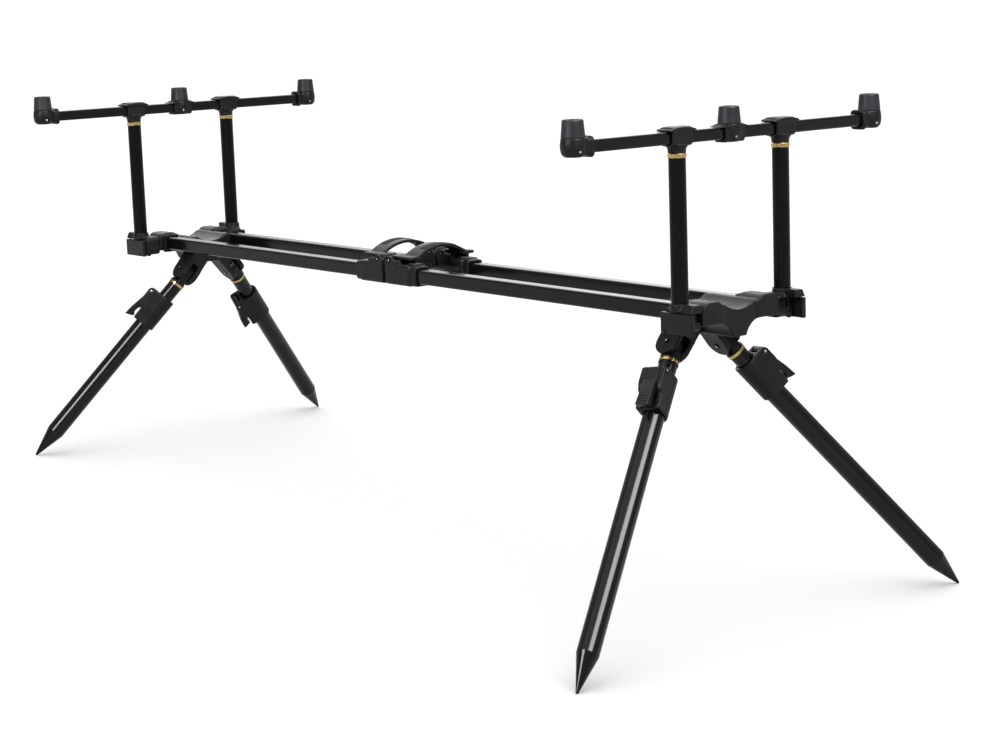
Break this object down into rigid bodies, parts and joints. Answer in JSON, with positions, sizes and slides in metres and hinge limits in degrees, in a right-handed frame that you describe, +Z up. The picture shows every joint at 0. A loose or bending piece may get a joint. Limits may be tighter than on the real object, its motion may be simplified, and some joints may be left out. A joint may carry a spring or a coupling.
{
  "type": "rod pod",
  "caption": "Folding rod pod: a telescoping twin-rail frame on splayed spiked legs, with fold-down buzz bars whose threaded heads take bite alarms and rod rests.",
  "frame": {"origin": "on the ground under the middle of the bounding box", "axes": "+X along the rails towards the longer-legged near end, +Y across the pod to the rear, +Z up"},
  "size_m": [1.124, 0.5298, 0.511],
  "materials": {
    "plastic": "satin moulded nylon",
    "tube": "gloss black anodised tube",
    "spike": "black anodised turned point",
    "gold": "gold anodised ring",
    "steel": "plain steel pin",
    "brass": "turned brass insert"
  },
  "bodies": {
    "far_frame": {"far_hub": "plastic", "far_rails": "tube", "far_coupler": "plastic", "far_pins": "steel"},
    "near_frame": {"near_hub": "plastic", "near_rails": "tube", "near_coupler": "plastic", "near_pins": "steel"},
    "slide_frame": {"slide_rails": "tube"},
    "far_bail": {"far_bail": "plastic"},
    "far_bar_set": {"far_base_blocks": "plastic", "far_uprights": "tube", "far_upright_rings": "gold", "far_tees": "plastic", "far_bar": "tube", "far_heads": "plastic", "far_caps": "plastic", "far_inserts": "brass"},
    "far_front_base_lever": {"far_front_base_lever": "plastic"},
    "far_rear_base_lever": {"far_rear_base_lever": "plastic"},
    "near_bail": {"near_bail": "plastic"},
    "near_bar_set": {"near_base_blocks": "plastic", "near_uprights": "tube", "near_upright_rings": "gold", "near_tees": "plastic", "near_bar": "tube", "near_heads": "plastic", "near_caps": "plastic", "near_inserts": "brass"},
    "near_front_base_lever": {"near_front_base_lever": "plastic"},
    "near_rear_base_lever": {"near_rear_base_lever": "plastic"},
    "far_front_leg": {"far_front_knuckle": "plastic", "far_front_ring": "gold", "far_front_inner": "tube"},
    "far_front_foot": {"far_front_outer": "tube", "far_front_clamp": "plastic", "far_front_spike": "spike"},
    "far_front_cam_lever": {"far_front_lever": "plastic"},
    "far_rear_leg": {"far_rear_knuckle": "plastic", "far_rear_ring": "gold", "far_rear_inner": "tube"},
    "far_rear_foot": {"far_rear_outer": "tube", "far_rear_clamp": "plastic", "far_rear_spike": "spike"},
    "far_rear_cam_lever": {"far_rear_lever": "plastic"},
    "near_front_leg": {"near_front_knuckle": "plastic", "near_front_ring": "gold", "near_front_inner": "tube"},
    "near_front_foot": {"near_front_outer": "tube", "near_front_clamp": "plastic", "near_front_spike": "spike"},
    "near_front_cam_lever": {"near_front_lever": "plastic"},
    "near_rear_leg": {"near_rear_knuckle": "plastic", "near_rear_ring": "gold", "near_rear_inner": "tube"},
    "near_rear_foot": {"near_rear_outer": "tube", "near_rear_clamp": "plastic", "near_rear_spike": "spike"},
    "near_rear_cam_lever": {"near_rear_lever": "plastic"}
  },
  "joints": [
    {"name": "slide_rails_extend", "type": "slide", "parent": "far_frame", "child": "slide_frame", "axis": [0.9989, 0, 0.0474], "range_m": [0, 0.25]},
    {"name": "near_frame_extend", "type": "slide", "parent": "slide_frame", "child": "near_frame", "axis": [0.9989, 0, 0.0474], "range_m": [0, 0.25]},
    {"name": "far_bail_open", "type": "hinge", "parent": "far_frame", "child": "far_bail", "pos_m": [-0.03582, 0, 0.3037], "axis": [0, 1, 0], "range_deg": [0, 58]},
    {"name": "far_bar_fold", "type": "hinge", "parent": "far_frame", "child": "far_bar_set", "pos_m": [-0.5335, 0, 0.26409], "axis": [0, 1, 0], "range_deg": [0, 82]},
    {"name": "far_front_base_lever_flip", "type": "hinge", "parent": "far_bar_set", "child": "far_front_base_lever", "pos_m": [-0.53295, -0.069, 0.2525], "axis": [0.9989, 0, 0.0474], "range_deg": [0, 110]},
    {"name": "far_rear_base_lever_flip", "type": "hinge", "parent": "far_bar_set", "child": "far_rear_base_lever", "pos_m": [-0.53295, 0.069, 0.2525], "axis": [-0.9989, 0, -0.0474], "range_deg": [0, 110]},
    {"name": "near_bail_open", "type": "hinge", "parent": "near_frame", "child": "near_bail", "pos_m": [-0.01384, 0, 0.30475], "axis": [0, -1, 0], "range_deg": [0, 58]},
    {"name": "near_bar_fold", "type": "hinge", "parent": "near_frame", "child": "near_bar_set", "pos_m": [0.48536, 0, 0.31239], "axis": [0, -1, 0], "range_deg": [0, 82]},
    {"name": "near_front_base_lever_flip", "type": "hinge", "parent": "near_bar_set", "child": "near_front_base_lever", "pos_m": [0.48591, -0.069, 0.30081], "axis": [0.9989, 0, 0.0474], "range_deg": [0, 110]},
    {"name": "near_rear_base_lever_flip", "type": "hinge", "parent": "near_bar_set", "child": "near_rear_base_lever", "pos_m": [0.48591, 0.069, 0.30081], "axis": [-0.9989, 0, -0.0474], "range_deg": [0, 110]},
    {"name": "far_front_leg_fold", "type": "hinge", "parent": "far_frame", "child": "far_front_leg", "pos_m": [-0.48281, -0.0341, 0.22955], "axis": [-0.0302, -0.7705, 0.6367], "range_deg": [0, 105]},
    {"name": "far_front_foot_extend", "type": "slide", "parent": "far_front_leg", "child": "far_front_foot", "axis": [-0.2555, -0.6099, -0.7502], "range_m": [0, 0.1]},
    {"name": "far_front_cam_flip", "type": "hinge", "parent": "far_front_foot", "child": "far_front_cam_lever", "pos_m": [-0.50411, -0.07303, 0.20674], "axis": [-0.8218, 0.5457, -0.1638], "range_deg": [0, 95]},
    {"name": "far_rear_leg_fold", "type": "hinge", "parent": "far_frame", "child": "far_rear_leg", "pos_m": [-0.48281, 0.0341, 0.22955], "axis": [0.0302, -0.7705, -0.6367], "range_deg": [0, 105]},
    {"name": "far_rear_foot_extend", "type": "slide", "parent": "far_rear_leg", "child": "far_rear_foot", "axis": [-0.2555, 0.6099, -0.7502], "range_m": [0, 0.1]},
    {"name": "far_rear_cam_flip", "type": "hinge", "parent": "far_rear_foot", "child": "far_rear_cam_lever", "pos_m": [-0.50498, 0.05441, 0.1779], "axis": [-0.8747, 0.1847, 0.448], "range_deg": [0, 95]},
    {"name": "near_front_leg_fold", "type": "hinge", "parent": "near_frame", "child": "near_front_leg", "pos_m": [0.43816, -0.0341, 0.27321], "axis": [0.0302, 0.7705, -0.6367], "range_deg": [0, 105]},
    {"name": "near_front_foot_extend", "type": "slide", "parent": "near_front_leg", "child": "near_front_foot", "axis": [0.3253, -0.6099, -0.7226], "range_m": [0, 0.1]},
    {"name": "near_front_cam_flip", "type": "hinge", "parent": "near_front_foot", "child": "near_front_cam_lever", "pos_m": [0.45377, -0.07219, 0.25662], "axis": [-0.936, -0.3163, -0.1544], "range_deg": [0, 95]},
    {"name": "near_rear_leg_fold", "type": "hinge", "parent": "near_frame", "child": "near_rear_leg", "pos_m": [0.43816, 0.0341, 0.27321], "axis": [-0.0302, 0.7705, 0.6367], "range_deg": [0, 105]},
    {"name": "near_rear_foot_extend", "type": "slide", "parent": "near_rear_leg", "child": "near_rear_foot", "axis": [0.3253, 0.6099, -0.7226], "range_m": [0, 0.1]},
    {"name": "near_rear_cam_flip", "type": "hinge", "parent": "near_rear_foot", "child": "near_rear_cam_lever", "pos_m": [0.45372, 0.07076, 0.25816], "axis": [0.9308, -0.3415, 0.1308], "range_deg": [0, 95]}
  ]
}
